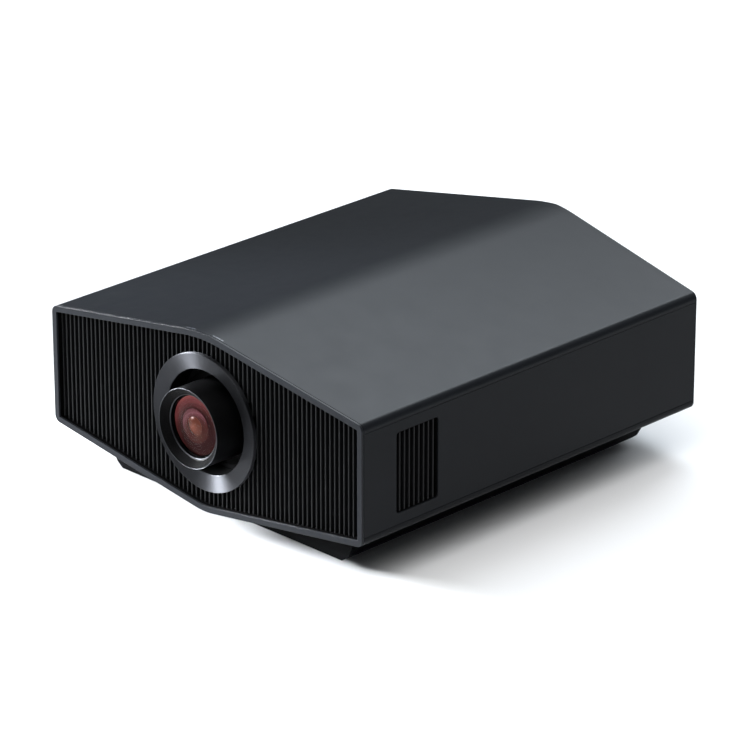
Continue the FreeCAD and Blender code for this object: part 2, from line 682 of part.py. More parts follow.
def chassis(mount_back, notch):
    """Chassis sheet, optical engine, light source, cooling and power."""
    y0 = front + 30
    y1 = rear - 10
    sheet_low = deck - size.sheet_thick
    solid = block("chassis_sheet", -half + 30, half - 30, y0, y1, sheet_low, deck)
    recess = block("chassis_notch", -notch - 0.5, notch + 0.5, y0 - 1, mount_back + 0.5,
                   sheet_low - 1, deck + 1)
    keep(cut("chassis_plate", solid, recess))

    hw = size.engine_wide / 2
    e0 = mount_back
    fan_back = rear - 2
    fan_front = fan_back - size.fan_depth
    room = fan_front - e0
    e1 = e0 + room * size.engine_share
    top = deck + size.engine_high
    shell = block("engine_block", -hw, hw, e0, e1, deck, top)
    inner = block("engine_inner", -hw + 3, hw - 3, e0 + 3, e1 - 3, deck + 3, top - 3)
    ports = rod("engine_ports", "y", 0, e0 - 1, axis, 42, room * size.engine_share + 2)
    keep(cut("optical_housing", shell, inner, ports))
    prism_y = e0 + 60
    cube = block("prism_cube", -22, 22, prism_y, prism_y + 44, axis - 22, axis + 22)
    post = block("prism_post", -16, 16, prism_y + 6, prism_y + 38, deck + 3, axis - 22)
    keep(fuse("prism_block", cube, post))
    keep(group(
        "imaging_panels",
        block("panel_left", -25.5, -22.5, prism_y + 4, prism_y + 40, axis - 18, axis + 18),
        block("panel_right", 22.5, 25.5, prism_y + 4, prism_y + 40, axis - 18, axis + 18),
        block("panel_back", -18, 18, prism_y + 44.5, prism_y + 47.5, axis - 18, axis + 18)))
    light = e1 + room * size.light_share
    keep(block("light_source", -hw + 10, hw - 10, e1, light, deck, deck + 100))

    sink = (size.fan_spacing + size.fan_size) / 2 + 14
    base = block("sink_base", -sink, sink, light, light + 6, deck, deck + 100)
    count = 42
    fins = rows("sink_fins", [(-sink, light + 5, deck)], (sink * 2 / count, 0, 0), count,
                (1.6, fan_front - light - 5, 100))
    keep(fuse("heat_sink", base, fins))

    frames = []
    centre = deck + size.fan_size / 2
    for side, x in (("left", -size.fan_spacing / 2), ("right", size.fan_spacing / 2)):
        hf = size.fan_size / 2
        frame = block(f"fan_block_{side}", x - hf, x + hf, fan_front, fan_back, deck,
                      deck + size.fan_size)
        duct = rod(f"fan_duct_{side}", "y", x, fan_front - 1, centre, hf - 3, size.fan_depth + 2)
        hub = rod(f"fan_hub_{side}", "y", x, fan_back - 5, centre, 14, 5)
        struts = [block(f"fan_strut_a_{side}", x - hf + 1, x + hf - 1, fan_back - 4, fan_back,
                        centre - 2, centre + 2),
                  block(f"fan_strut_b_{side}", x - 2, x + 2, fan_back - 4, fan_back,
                        centre - hf + 1, centre + hf - 1)]
        bearing = rod(f"fan_bearing_{side}", "y", x, fan_back - 6, centre, 2 + size.running, 8)
        ring = cut(f"fan_ring_{side}", frame, duct)
        frames.append(cut(f"fan_frame_{side}", fuse(f"fan_web_{side}", ring, hub, *struts),
                          bearing))
        wheel_hub = rod(f"wheel_hub_{side}", "y", x, fan_front + 2, centre, 15, 17)
        shaft = rod(f"wheel_shaft_{side}", "y", x, fan_front + 10, centre, 2, fan_back - fan_front - 11)
        blades = doc.addObject("Part::Feature", f"wheel_blades_{side}")
        reach = hf.number - 5
        turns = [Part.makeBox(reach - 10, 12, 2, Vector(10, 4, -1)) for _ in range(7)]
        for index, blade in enumerate(turns):
            blade.rotate(Vector(0, 10, 0), Vector(1, 0, 0), 38)
            blade.rotate(Vector(), Vector(0, 1, 0), index * 360 / 7)
        hoop = Part.makeCylinder(reach, 40, Vector(0, -10, 0), Vector(0, 1, 0))
        blades.Shape = Part.makeCompound([blade.common(hoop) for blade in turns])
        place(blades, x, fan_front, centre)
        keep(fuse(f"impeller_{side}", wheel_hub, shaft, blades))
    keep(group("fan_frames", *frames))

    b0 = e0 + 60
    b1 = light - 6
    x0 = -half + 40
    x1 = -hw - 12
    keep(block("power_supply", hw + 12, half - 38, b0 + 10, b1, deck, deck + 78))
    board = block("board_sheet", x0, x1, b0, b1, deck + 8, deck + 9.6)
    posts = [rod(f"board_post_{n}", "z", x, y, deck, 3, 8.5)
             for n, (x, y) in enumerate((x, y) for x in (x0 + 8, x1 - 8) for y in (b0 + 10, b1 - 10))]
    c1 = b0 + (b1 - b0) * 0.35
    c2 = b0 + (b1 - b0) * 0.7
    chips = [block("board_chip_1", x0 + 40, x0 + 80, c1, c1 + 40, deck + 9.6, deck + 16),
             block("board_chip_2", x0 + 30, x0 + 60, c2, c2 + 30, deck + 9.6, deck + 13)]
    keep(fuse("main_board", board, *posts, *chips))


def socket(label, y, z, wide, tall, hollow_wide, hollow_tall, depth, back):
    """A connector shell on the tray floor, open to the left."""
    x0 = back - depth
    shell = block(f"{label}_shell", x0, back, y - wide / 2, y + wide / 2, z - tall / 2,
                  z + tall / 2)
    hollow = block(f"{label}_hollow", x0 - 1, back - 1, y - hollow_wide / 2, y + hollow_wide / 2,
                   z - hollow_tall / 2, z + hollow_tall / 2)
    return cut(label, shell, hollow)


def left_side(left):
    """Control panel, terminal tray, sockets and power inlet, with the panel cut for them."""
    gap = size.fit
    skin = -half
    openings = []

    c0 = front + size.case_depth * size.control_share
    c1 = c0 + size.control_length
    cz0 = axis - size.control_height / 2
    cz1 = axis + size.control_height / 2
    openings.append(block("control_opening", skin - 5, skin + 20, c0, c1, cz0, cz1))
    plate = block("control_sheet", skin + 1, skin + 4, c0 + gap, c1 - gap, cz0 + gap, cz1 - gap)
    holes = []
    pitch = size.button_pitch
    nav = c0 + size.control_length - 22
    first = c0 + 12
    keys = {
        "power_button": (first, axis), "input_button": (first + pitch * 1.3, axis),
        "menu_button": (first + pitch * 2.6, axis), "enter_button": (nav, axis),
        "up_button": (nav, axis + pitch), "down_button": (nav, axis - pitch),
        "left_button": (nav - pitch, axis), "right_button": (nav + pitch, axis),
    }
    for name, (y, z) in keys.items():
        r = size.button_radius
        holes.append(rod(f"{name}_hole", "x", skin, y, z, r + 0.3, 10))
        cap = rod(f"{name}_cap", "x", skin + 0.4, y, z, r, 5)
        flange = rod(f"{name}_flange", "x", skin + 4.3, y, z, r + 1.2, 1.2)
        keep(fuse(name, cap, flange))
    keep(cut("control_plate", plate, *holes))

    t0 = front + size.case_depth * size.terminal_share
    t1 = t0 + size.terminal_length
    tz0 = axis - size.terminal_height / 2
    tz1 = axis + size.terminal_height / 2
    openings.append(block("terminal_opening", skin - 5, skin + 20, t0, t1, tz0, tz1))
    floor = skin + size.tray_depth
    tray = block("tray_form", skin + 0.5, floor + 2, t0 + gap, t1 - gap, tz0 + gap, tz1 - gap)
    recess = block("tray_recess", skin - 5, floor, t0 + 2, t1 - 2, tz0 + 2, tz1 - 2)
    keep(cut("terminal_plate", tray, recess))
    hdmi = [socket(f"hdmi_{n}", t0 + y, axis + 8, 18, 7.5, 14.2, 4.6, 6, floor)
            for n, y in enumerate((20, 46))]
    keep(group("hdmi_sockets", *hdmi))
    keep(socket("usb_socket", t0 + 72, axis + 8, 15.5, 8, 12.6, 5.2, 6, floor))
    keep(socket("lan_socket", t0 + 98, axis + 6, 18, 15, 12.2, 10, 7, floor))
    keep(socket("serial_socket", t0 + 38, axis - 10, 32, 12.5, 17, 8.4, 6, floor))
    jacks = [cut(f"jack_{n}", rod(f"jack_body_{n}", "x", floor - 4, t0 + y, axis - 10, 4.5, 4),
                 rod(f"jack_hole_{n}", "x", floor - 5, t0 + y, axis - 10, 1.8, 4))
             for n, y in enumerate((78, 94))]
    keep(group("trigger_jacks", *jacks))

    i0 = front + size.case_depth * size.inlet_share
    openings.append(block("inlet_opening", skin - 5, skin + 20, i0, i0 + 34, axis - 14,
                          axis + 14))
    body = block("inlet_body", skin + 0.8, skin + 24, i0 + gap, i0 + 34 - gap, axis - 14 + gap,
                 axis + 14 - gap)
    well = block("inlet_well", skin - 1, skin + 19, i0 + 5, i0 + 29, axis - 8, axis + 8)
    pins = [block(f"inlet_pin_{n}", skin + 5, skin + 20, i0 + y, i0 + y + 2, axis + z, axis + z + 4)
            for n, (y, z) in enumerate(((16, 1.5), (9, -4.5), (23, -4.5)))]
    keep(fuse("power_inlet", cut("inlet_shell", body, well), *pins))
    keep(cut("side_panel_left", left, *openings))


body, top, bottom, left, right = case()
indicator_lights(top)
front_grille()
lens_surround()
lens()
mount_back, notch = lens_shift()
side_vent(right)
rear_end(body)
plinth(body, bottom)
lower_case(bottom)
chassis(mount_back, notch)
left_side(left)
doc.recompute()

faults = [thing.Label for thing in doc.Objects if {"Invalid", "Error"} & set(thing.State)]
for thing in nodes:
    if thing.Shape.isNull() or not thing.Shape.isValid():
        faults.append(thing.Label)
if faults:
    raise RuntimeError("not built: " + ", ".join(faults))

os.makedirs("parts", exist_ok=True)
for thing in nodes:
    thing.Shape.exportStep(f"parts/{thing.Label}.step")
print(len(nodes), "sub-parts written")
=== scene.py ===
import json
import math

import bmesh
import bpy
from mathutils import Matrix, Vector


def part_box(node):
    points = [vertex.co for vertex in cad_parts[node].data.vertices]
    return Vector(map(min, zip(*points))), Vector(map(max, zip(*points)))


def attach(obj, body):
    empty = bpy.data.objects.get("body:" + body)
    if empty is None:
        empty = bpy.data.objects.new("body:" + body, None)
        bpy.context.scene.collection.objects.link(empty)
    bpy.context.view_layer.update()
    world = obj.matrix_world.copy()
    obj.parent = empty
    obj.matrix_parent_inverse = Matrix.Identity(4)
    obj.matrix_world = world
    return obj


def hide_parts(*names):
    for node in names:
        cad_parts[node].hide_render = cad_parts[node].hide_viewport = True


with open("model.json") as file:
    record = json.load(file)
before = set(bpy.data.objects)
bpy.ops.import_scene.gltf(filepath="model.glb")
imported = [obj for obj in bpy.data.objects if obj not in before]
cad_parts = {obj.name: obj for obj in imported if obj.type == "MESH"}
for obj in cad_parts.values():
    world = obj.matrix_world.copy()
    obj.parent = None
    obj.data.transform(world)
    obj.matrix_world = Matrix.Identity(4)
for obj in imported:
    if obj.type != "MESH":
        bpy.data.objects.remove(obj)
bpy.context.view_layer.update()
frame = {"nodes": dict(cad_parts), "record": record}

# ---------------------------------------------- sizes in metres, angles in degrees

MM = 0.001
bezel_low, bezel_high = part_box("front_bezel")
side_low, side_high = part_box("side_panel_right")
rear_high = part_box("rear_panel")[1]
ring_low, ring_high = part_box("lens_surround_ring")
barrel_low, barrel_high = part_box("lens_barrel")
grille_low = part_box("front_grille")[0]
vent_low, vent_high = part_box("side_vent_grille")

HALF = bezel_high.x
FRONT = bezel_low.y
SEAM = 0.4 * MM
SEAM_INSET = 9 * MM
WALL = 3 * MM
LOW = side_low.z - SEAM - SEAM_INSET
HIGH = side_high.z + SEAM + SEAM_INSET
TOP_RISE = 36 * MM
BOTTOM_DROP = 34 * MM
AXIS = (ring_low.z + ring_high.z) / 2
RIM_WIDTH = 6.75 * MM
RIM_DEPTH = 2.6 * MM
SHELL_FRONT = FRONT + RIM_DEPTH + SEAM
REAR_PEAK = 29 * MM
REAR_CORNER = rear_high.y - REAR_PEAK
RIDGE_ROUND = 180 * MM
KEEL_ROUND = 95 * MM
EDGE_ROUND = 8 * MM
FIN_PITCH = 6.56 * MM
FIN_THICK = 2.0 * MM
RING_OUTER = ring_high.x
RING_INNER = 57 * MM
BARREL_RADIUS = 43.3 * MM
BORE = 36 * MM
GAP = 0.15 * MM
FIN_COUNT = 68
FIN_DEPTH = 12 * MM
VENT_FINS = 8
VENT_PITCH = 6.82 * MM
VENT_CORNER = 3.3 * MM
VENT_BORDER = 1.1 * MM
RING_BACK = 4.8 * MM
WELL_FLANGE = 72 * MM
FLANGE_BACK = 7.3 * MM
WELL_WALL = 59.5 * MM
WELL_END = 28.8 * MM
WELL_MOUTH = 52.4 * MM
BAFFLE_RADIUS = 61.5 * MM
BAFFLE_PLACE = 30 * MM
BAFFLE_THICK = 1 * MM
BARREL_FLANGE = 52 * MM
FLANGE_THICK = 5 * MM
HOOD_DEPTH = 7.7 * MM
HOOD_STEPS = 9
HOOD_RISER = 0.72 * MM
HOOD_TREAD = 0.82 * MM
HOOD_FLOOR = 34.8 * MM
TRIM_OUTER = 34.75 * MM
TRIM_INNER = 33.9 * MM
CELL_RADIUS = BORE - 0.1 * MM
CELL_LENGTH = 24 * MM
GLASS_RADIUS = 32.4 * MM
GLASS_CURVE = 123 * MM
SPUN_CIRCLES = 5200.0
FLOOR_REACH = 30.0
CAMERA_AZIMUTH = 44.77
CAMERA_ELEVATION = 22.6
CAMERA_DISTANCE = 4.62448
CAMERA_AIM = (0, FRONT + 0.230, 0.104)
AIM_RIGHT = 0.01432
AIM_DOWN = 0.00086
SENSOR_MM = 36
FOCAL_MM = 209.87856


def rear_line(x, inset=0.0):
    """The shallow V of the rear in plan, with its middle eased."""
    ease = 6 * MM
    spread = math.sqrt(x * x + ease * ease) - ease
    return REAR_CORNER + REAR_PEAK * (1 - spread / HALF) - inset


# ---------------------------------------------------------------- materials


class Shader:
    """A small helper round one material's node tree."""

    def __init__(self, name):
        self.material = bpy.data.materials.new(name)
        self.material.use_nodes = True
        self.tree = self.material.node_tree
        self.bsdf = self.tree.nodes["Principled BSDF"]
        self.place = self.node("ShaderNodeTexCoord").outputs["Object"]

    def node(self, kind, **settings):
        made = self.tree.nodes.new(kind)
        for key, amount in settings.items():
            if key in made.inputs:
                made.inputs[key].default_value = amount
            else:
                setattr(made, key, amount)
        return made

    def link(self, output, target):
        self.tree.links.new(output, target)

    def noise(self, scale, detail=4.0, roughness=0.6, vector=None):
        made = self.node("ShaderNodeTexNoise", Scale=scale, Detail=detail, Roughness=roughness)
        self.link(vector or self.place, made.inputs["Vector"])
        return made.outputs["Fac"]

    def stretched(self, scale):
        made = self.node("ShaderNodeMapping")
        made.inputs["Scale"].default_value = scale
        self.link(self.place, made.inputs["Vector"])
        return made.outputs["Vector"]

    def ramp(self, source, stops, smooth="LINEAR"):
        made = self.node("ShaderNodeValToRGB")
        made.color_ramp.interpolation = smooth
        elements = made.color_ramp.elements
        while len(elements) < len(stops):
            elements.new(0.5)
        for element, (spot, colour) in zip(elements, stops):
            element.position = spot
            element.color = (*colour, 1)
        self.link(source, made.inputs["Fac"])
        return made.outputs["Color"]

    def spread(self, source, low, high):
        """Stretches the middle of a noise between two values."""
        made = self.node("ShaderNodeMapRange")
        for key, amount in (("From Min", 0.3), ("From Max", 0.7), ("To Min", low),
                            ("To Max", high)):
            made.inputs[key].default_value = amount
        self.link(source, made.inputs["Value"])
        return made.outputs["Result"]

    def maths(self, kind, first, second=None):
        made = self.node("ShaderNodeMath", operation=kind)
        for socket, amount in zip(made.inputs, (first, second)):
            if isinstance(amount, (int, float)):
                socket.default_value = amount
            elif amount is not None:
                self.link(amount, socket)
        return made.outputs["Value"]

    def bump(self, height, strength, distance):
        made = self.node("ShaderNodeBump", Strength=strength, Distance=distance)
        self.link(height, made.inputs["Height"])
        self.link(made.outputs["Normal"], self.bsdf.inputs["Normal"])

    def radius(self):
        """Distance from the lens axis."""
        parts = self.node("ShaderNodeSeparateXYZ")
        self.link(self.place, parts.inputs["Vector"])
        across = self.maths("POWER", self.maths("ABSOLUTE", parts.outputs["X"]), 2.0)
        height = self.maths("SUBTRACT", parts.outputs["Z"], AXIS)
        up = self.maths("POWER", self.maths("ABSOLUTE", height), 2.0)
        return self.maths("SQRT", self.maths("ADD", across, up))


def moulded(name, dark, light, roughness, grain=2600.0, strength=0.12, specular=0.5,
            cloudy=0.5, uneven=0.045):
    """Moulded or painted skin: fine grain, cloudy tone, roughness that varies."""
    s = Shader(name)
    s.bsdf.inputs["Specular IOR Level"].default_value = specular
    cloud = s.noise(9.0, 3.0)
    fleck = s.noise(grain * 0.6, 2.0)
    blend = s.maths("ADD", s.maths("MULTIPLY", cloud, cloudy),
                    s.maths("MULTIPLY", fleck, 1 - cloudy))
    s.link(s.ramp(blend, [(0.35, dark), (0.65, light)]), s.bsdf.inputs["Base Color"])
    s.link(s.spread(s.noise(38.0, 5.0), roughness - uneven, roughness + uneven),
           s.bsdf.inputs["Roughness"])
    s.bump(s.noise(grain, 2.0), strength, 0.00004)
    return s.material


def bare_metal(name, dark, light, roughness, scale=(1, 1, 1), brush=900.0, strength=0.1):
    """Bare metal with a directional grain."""
    s = Shader(name)
    s.bsdf.inputs["Metallic"].default_value = 1.0
    grain = s.noise(brush, 3.0, 0.7, s.stretched(scale))
    s.link(s.ramp(grain, [(0.3, dark), (0.7, light)]), s.bsdf.inputs["Base Color"])
    s.link(s.spread(grain, roughness - 0.07, roughness + 0.09), s.bsdf.inputs["Roughness"])
    s.bump(grain, strength, 0.00003)
    return s.material


def spun_metal(name, dark, light, roughness, anisotropy=0.92):
    """Metal turned on a lathe: fine circles about the lens axis."""
    s = Shader(name)
    s.bsdf.inputs["Metallic"].default_value = 1.0
    s.bsdf.inputs["Anisotropic"].default_value = anisotropy
    s.bsdf.inputs["Anisotropic Rotation"].default_value = 0.25
    tangent = s.node("ShaderNodeTangent", direction_type="RADIAL", axis="Y")
    s.link(tangent.outputs["Tangent"], s.bsdf.inputs["Tangent"])
    turn = s.node("ShaderNodeTexNoise", noise_dimensions="1D", Scale=1.0, Detail=3.0)
    s.link(s.maths("MULTIPLY", s.radius(), SPUN_CIRCLES), turn.inputs["W"])
    circles = turn.outputs["Fac"]
    cloud = s.noise(60.0, 3.0)
    mixed = s.maths("ADD", s.maths("MULTIPLY", circles, 0.75), s.maths("MULTIPLY", cloud, 0.25))
    s.link(s.ramp(mixed, [(0.3, dark), (0.7, light)]), s.bsdf.inputs["Base Color"])
    s.link(s.spread(mixed, roughness - 0.05, roughness + 0.08), s.bsdf.inputs["Roughness"])
    s.bump(circles, 0.16, 0.00003)
    return s.material


def coated_glass(name, tint, index=1.5):
    """Clear tinted glass that is very slightly uneven."""
    s = Shader(name)
    s.bsdf.inputs["Transmission Weight"].default_value = 1.0
    s.bsdf.inputs["IOR"].default_value = index
    s.bsdf.inputs["Base Color"].default_value = (*tint, 1)
    s.link(s.spread(s.noise(45.0, 4.0), 0.005, 0.03), s.bsdf.inputs["Roughness"])
    s.bump(s.noise(25.0, 2.0), 0.02, 0.00002)
    return s.material


def painted_reflection_glass(name, stops, reach, painted_light_drift, coat):
    """An inner element with painted reflections: fine circles of colour that stand in for light
    reflected in its coatings, shifted towards the upper left as painted light.
    """
    s = Shader(name)
    s.bsdf.inputs["Specular IOR Level"].default_value = 0.03
    s.bsdf.inputs["Coat Weight"].default_value = coat
    s.bsdf.inputs["Coat Roughness"].default_value = 0.05
    parts = s.node("ShaderNodeSeparateXYZ")
    s.link(s.place, parts.inputs["Vector"])
    # Painted light: the colour shifts towards the upper left, where the lamps light the elements.
    height = s.maths("MULTIPLY", s.maths("SUBTRACT", parts.outputs["Z"], AXIS), painted_light_drift / reach)
    across = s.maths("MULTIPLY", parts.outputs["X"], -0.6 * painted_light_drift / reach)
    circles = s.node("ShaderNodeTexNoise", noise_dimensions="1D", Scale=1.0, Detail=2.0)
    s.link(s.maths("MULTIPLY", s.radius(), 1100.0), circles.inputs["W"])
    ripple = s.maths("MULTIPLY", s.maths("SUBTRACT", circles.outputs["Fac"], 0.5), 0.16)
    share = s.maths("ADD", s.maths("DIVIDE", s.radius(), reach), ripple)
    share = s.maths("MULTIPLY", s.maths("ADD", s.maths("ADD", share, height), across), 0.75)
    s.link(s.ramp(share, stops, "EASE"), s.bsdf.inputs["Base Color"])
    s.link(s.spread(s.noise(220.0, 3.0), 0.10, 0.20), s.bsdf.inputs["Roughness"])
    return s.material


CASE = moulded("case_paint", (0.0066, 0.0076, 0.0094), (0.0090, 0.0102, 0.0124), 0.38,
               specular=0.09, cloudy=0.2, uneven=0.02)
# Painted shade: a darker copy of the case paint for the side panels, standing in for the shade on
# the sides.
SIDE_SHADED_PAINT = moulded("side_paint_shaded_copy", (0.0054, 0.0062, 0.0078), (0.0074, 0.0084, 0.0103), 0.38,
               specular=0.08, cloudy=0.2, uneven=0.02)
# Painted light: a lighter copy of the case paint for the front rim, standing in for the light
# falling on the rim face.
RIM_LIT_PAINT = moulded("rim_paint_lit_copy", (0.0098, 0.0110, 0.0134), (0.0132, 0.0148, 0.018), 0.34, specular=0.12,
              cloudy=0.2, uneven=0.02)
GRILLE = moulded("grille_black", (0.0040, 0.0042, 0.0047), (0.0064, 0.0066, 0.0073), 0.34,
                 1800.0, specular=0.10)
# Painted shade: a near-black, matte, barely reflective black for the inner lip of the bezel, the
# sheets and frame behind the grilles and the backs of the sockets, standing in for the shade in
# these recesses.
RECESS_SHADE_BLACK = moulded("painted_recess_shade", (0.0010, 0.0010, 0.0010), (0.0018, 0.0018, 0.0018), 0.9,
                 1500.0, specular=0.02)
RING = spun_metal("spun_ring", (0.024, 0.025, 0.028), (0.038, 0.039, 0.043), 0.42)
EDGE = spun_metal("machined_edge", (0.045, 0.047, 0.052), (0.075, 0.078, 0.085), 0.42,
                  anisotropy=0.2)
WELL = moulded("well_black", (0.001, 0.001, 0.0011), (0.0018, 0.0018, 0.002), 0.5, 1500.0,
               specular=0.04)
BARREL = moulded("barrel_black", (0.0012, 0.0012, 0.0014), (0.0024, 0.0024, 0.0028), 0.42,
                 2400.0, specular=0.14)
HOOD = moulded("hood_black", (0.0016, 0.0016, 0.0018), (0.0028, 0.0028, 0.0032), 0.40, 2400.0,
               specular=0.06)
PLINTH = moulded("plinth_black", (0.0008, 0.0009, 0.0012), (0.0015, 0.0017, 0.0021), 0.6, 900.0,
                 0.3, specular=0.04)
# Painted shade: a darker copy of the case paint for the lower shell, standing in for the shade
# under the case.
LOWER_SHADED_PAINT = moulded("lower_paint_shaded_copy", (0.0044, 0.0050, 0.0062), (0.0060, 0.0068, 0.0083), 0.42,
                specular=0.06, cloudy=0.2, uneven=0.02)
RUBBER = moulded("foot_rubber", (0.008, 0.008, 0.008), (0.016, 0.016, 0.016), 0.8, 700.0, 0.4)
PLATE = moulded("plate_black", (0.008, 0.008, 0.009), (0.014, 0.014, 0.015), 0.5, 1200.0, 0.3,
                specular=0.3)
BUTTON = moulded("button_grey", (0.02, 0.021, 0.024), (0.032, 0.034, 0.038), 0.35, 2000.0,
                 specular=0.3)
MARK = moulded("mark_white", (0.42, 0.43, 0.45), (0.52, 0.53, 0.55), 0.5, 1500.0, 0.2,
               specular=0.3)
SOCKET = bare_metal("nickel", (0.20, 0.20, 0.195), (0.34, 0.335, 0.32), 0.34, (1, 12, 1))
ZINC = bare_metal("zinc_sheet", (0.42, 0.43, 0.42), (0.6, 0.61, 0.6), 0.38, (1, 9, 1), 300.0)
CAST = bare_metal("cast_alloy", (0.22, 0.22, 0.23), (0.34, 0.34, 0.35), 0.5, (1, 1, 1), 500.0, 0.3)
SINK = bare_metal("sink_aluminium", (0.5, 0.5, 0.5), (0.72, 0.72, 0.72), 0.33, (1, 1, 14))
STEEL = bare_metal("bright_steel", (0.5, 0.5, 0.5), (0.7, 0.7, 0.7), 0.22, (9, 1, 1))
BRASS = bare_metal("brass", (0.5, 0.36, 0.13), (0.72, 0.54, 0.24), 0.28, (1, 1, 6))
BOARD = moulded("board_green", (0.008, 0.05, 0.02), (0.015, 0.08, 0.035), 0.35, 500.0, 0.3)
SMOKE = moulded("light_window", (0.045, 0.050, 0.060), (0.070, 0.077, 0.090), 0.3, 900.0, 0.1,
                specular=0.3)
GLASS = coated_glass("coated_glass", (0.97, 0.90, 0.89), 1.05)
CLEAR = coated_glass("prism_glass", (0.85, 0.93, 0.98))

# ---------------------------------------------------------------- mesh tools


def finish_piece(name, mesh, material, body, nodes=(), bevel=0.0, angle=35):
    """Puts a mesh in the scene, shades it and makes it ride on its body."""
    piece = bpy.data.objects.new(name, mesh)
    bpy.context.scene.collection.objects.link(piece)
    mesh.materials.append(material)
    mesh.polygons.foreach_set("use_smooth", [True] * len(mesh.polygons))
    mesh.set_sharp_from_angle(angle=math.radians(angle))
    if bevel:
        soften = piece.modifiers.new("edges", "BEVEL")
        soften.width = bevel
        soften.segments = 2
        soften.limit_method = "ANGLE"
        soften.angle_limit = math.radians(angle)
        soften.harden_normals = True
    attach(piece, body)
    if nodes:
        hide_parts(*nodes)


def mesh_of(name, points, faces):
    mesh = bpy.data.meshes.new(name)
    mesh.from_pydata([tuple(point) for point in points], [], faces)
    mesh.validate()
    return mesh


def outward(mesh):
    """Turns the faces of a closed mesh outward."""
    work = bmesh.new()
    work.from_mesh(mesh)
    bmesh.ops.recalc_face_normals(work, faces=work.faces)
    work.to_mesh(mesh)
    work.free()
    return mesh


def rounded(points, radii, steps):
    """A closed outline of (u, v) corners with an arc of its own radius at each."""
    outline = []
    count = len(points)
    for index, radius in enumerate(radii):
        corner = Vector(points[index])
        before = (Vector(points[index - 1]) - corner).normalized()
        after = (Vector(points[(index + 1) % count]) - corner).normalized()
        opening = before.angle(after)
        reach = radius / math.tan(opening / 2)
        centre = corner + (before + after).normalized() * (radius / math.sin(opening / 2))
        start = corner + before * reach - centre
        end = corner + after * reach - centre
        turn = start.angle_signed(end)
        for step in range(steps + 1):
            angle = -turn * step / steps
            outline.append((centre.x + start.x * math.cos(angle) - start.y * math.sin(angle),
                            centre.y + start.x * math.sin(angle) + start.y * math.cos(angle)))
    return outline


def section(inset, steps):
    """The six-sided section of the case, moved in by inset, from the lower left."""
    top = TOP_RISE / HALF
    low = BOTTOM_DROP / HALF
    top_long = math.hypot(1, top)
    low_long = math.hypot(1, low)
    corner = max(EDGE_ROUND - inset, 1.2 * MM)
    points = [
        (-HALF + inset, LOW - inset * low + inset * low_long),
        (0, LOW - BOTTOM_DROP + inset * low_long),
        (HALF - inset, LOW - inset * low + inset * low_long),
        (HALF - inset, HIGH + inset * top - inset * top_long),
        (0, HIGH + TOP_RISE - inset * top_long),
        (-HALF + inset, HIGH + inset * top - inset * top_long)]
    radii = [corner, KEEL_ROUND - inset, corner, corner, RIDGE_ROUND - inset, corner]
    return rounded(points, radii, steps)


def span(x, inset):
    """Lowest and highest z inside the section at x."""
    outline = section(inset, 24)
    crossings = []
    for index in range(len(outline)):
        (x0, z0), (x1, z1) = outline[index - 1], outline[index]
        if (x0 - x) * (x1 - x) <= 0 and x0 != x1:
            crossings.append(z0 + (z1 - z0) * (x - x0) / (x1 - x0))
    return min(crossings), max(crossings)


def turned(name, profile, segments=192):
    """A closed (radius, y) profile turned about the lens axis, y from the front of the rim."""
    count = len(profile)
    points = []
    faces = []
    for row in range(segments):
        angle = 2 * math.pi * row / segments
        points += [(radius * math.sin(angle), FRONT + along, AXIS + radius * math.cos(angle))
                   for radius, along in profile]
        following = (row + 1) % segments
        for index in range(count):
            nearby = (index + 1) % count
            faces.append((row * count + index, row * count + nearby,
                          following * count + nearby, following * count + index))
    return outward(mesh_of(name, points, faces))


def refine(node, material, bevel=0.3 * MM, limit=35):
    """A CAD shape with its flat faces merged and its edges eased."""
    source = frame["nodes"][node]
    mesh = source.data.copy()
    mesh.materials.clear()
    clean = bmesh.new()
    clean.from_mesh(mesh)
    bmesh.ops.remove_doubles(clean, verts=clean.verts, dist=1e-6)
    bmesh.ops.dissolve_limit(clean, angle_limit=math.radians(0.6), verts=clean.verts,
                             edges=clean.edges)
    clean.to_mesh(mesh)
    clean.free()
    body = next(name for name, members in frame["record"]["behaviour"]["bodies"].items()
                if node in members)
    finish_piece(node + "_look", mesh, material, body, (node,), bevel, angle=limit)


# ---------------------------------------------------------------- case


def chain(inset, level, above):
    """The part of the section above or below a level, as an open line from left to right."""
    outline = section(inset, 14)
    kept = [point for point in outline if (point[1] > level) == above]
    side = HALF - inset
    start = min(range(len(kept)), key=lambda i: (round(kept[i][0], 6), abs(kept[i][1] - level)))
    kept = kept[start:] + kept[:start]
    if abs(kept[1][0] - kept[0][0]) > abs(kept[-1][0] - kept[0][0]) and above is False:
        kept = [kept[0]] + kept[:0:-1]
    if kept[-1][0] < 0:
        kept = [kept[0]] + kept[:0:-1]
    return [(-side, level)] + kept + [(side, level)]


def outline_shell(name, node, level, above):
    """The upper or lower shell of the case, from the rim back to the shallow V of the rear."""
    loop = chain(0, level, above) + chain(WALL, level, above)[::-1]
    count = len(loop)
    steps = 3
    points = []
    for step in range(steps + 1):
        share = step / steps
        points += [(x, SHELL_FRONT + (rear_line(x, RIM_DEPTH + SEAM) - SHELL_FRONT) * share, z)
                   for x, z in loop]
    faces = []
    for row in range(steps):
        for index in range(count):
            nearby = (index + 1) % count
            faces.append((row * count + index, row * count + nearby,
                          (row + 1) * count + nearby, (row + 1) * count + index))
    for row, flip in ((0, True), (steps, False)):
        for index in range(count // 2 - 1):
            face = (row * count + index, row * count + index + 1,
                    row * count + count - 2 - index, row * count + count - 1 - index)
            faces.append(face[::-1] if flip else face)
    # The lower shell takes the darker, painted-shade copy of the case paint.
    material = CASE if above else LOWER_SHADED_PAINT
    mesh = outward(mesh_of(name, points, faces))
    finish_piece(name, mesh, material, "root", (node,), 0.25 * MM, angle=30)


